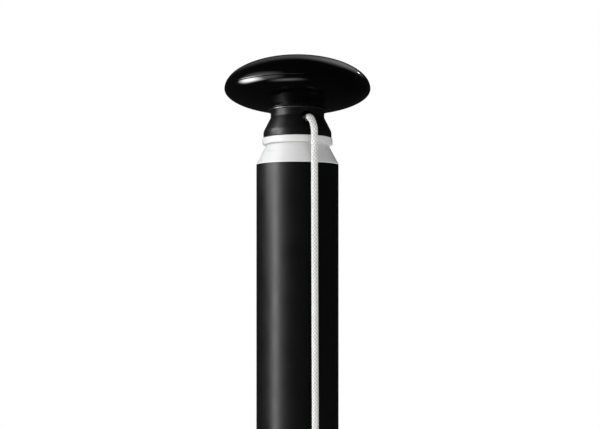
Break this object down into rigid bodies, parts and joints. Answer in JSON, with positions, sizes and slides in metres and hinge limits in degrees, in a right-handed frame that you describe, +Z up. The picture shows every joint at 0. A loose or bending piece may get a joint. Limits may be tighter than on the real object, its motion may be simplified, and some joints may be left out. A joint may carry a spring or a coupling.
{
  "type": "flagpole",
  "caption": "Bolt-down aluminium flagpole with a turning head, a disc finial, an outside halyard on a cleat and two flag hooks.",
  "frame": {"origin": "centre of the underside of the base plate", "axes": "+Z up along the pole; -Y towards the cleat and the front leg of the halyard"},
  "size_m": [0.2, 0.2, 6],
  "materials": {
    "gloss_black": "polished black moulding",
    "neck_black": "satin black moulding",
    "white_ring": "smooth white bearing plastic",
    "white_adapter": "smooth white moulding",
    "black_tube": "satin black powder coat on drawn tube",
    "rope": "braided white polyester rope",
    "brass": "cast and tumbled",
    "cleat_black": "black glass-filled nylon",
    "stainless": "plain stainless steel",
    "base_black": "black powder coat on welded steel"
  },
  "bodies": {
    "pole": {"bearing_ring": "white_ring", "adapter_cone": "white_adapter", "pole_tube": "black_tube", "halyard_front_leg": "rope", "halyard_rear_leg": "rope", "halyard_wrap": "rope", "halyard_turns": "rope", "hook_knots_upper": "rope", "hook_knots_lower": "rope", "flag_hook_upper": "brass", "flag_hook_lower": "brass", "cleat": "cleat_black", "cleat_screws": "stainless", "base_plate": "base_black", "base_sleeve": "base_black", "base_gussets": "base_black", "clamp_screws": "stainless"},
    "head": {"finial_upper_shell": "gloss_black", "finial_lower_shell": "gloss_black", "neck_rim": "neck_black", "truck_neck": "neck_black", "spindle_bolt": "stainless", "spindle_washer": "stainless", "halyard_bridge": "rope"}
  },
  "joints": [
    {"name": "head_turn", "type": "hinge", "parent": "pole", "child": "head", "pos_m": [0, 0, 5.90343], "axis": [0, 0, 1], "range_deg": [-180, 180], "deforming": ["halyard_front_leg", "halyard_rear_leg"]}
  ]
}
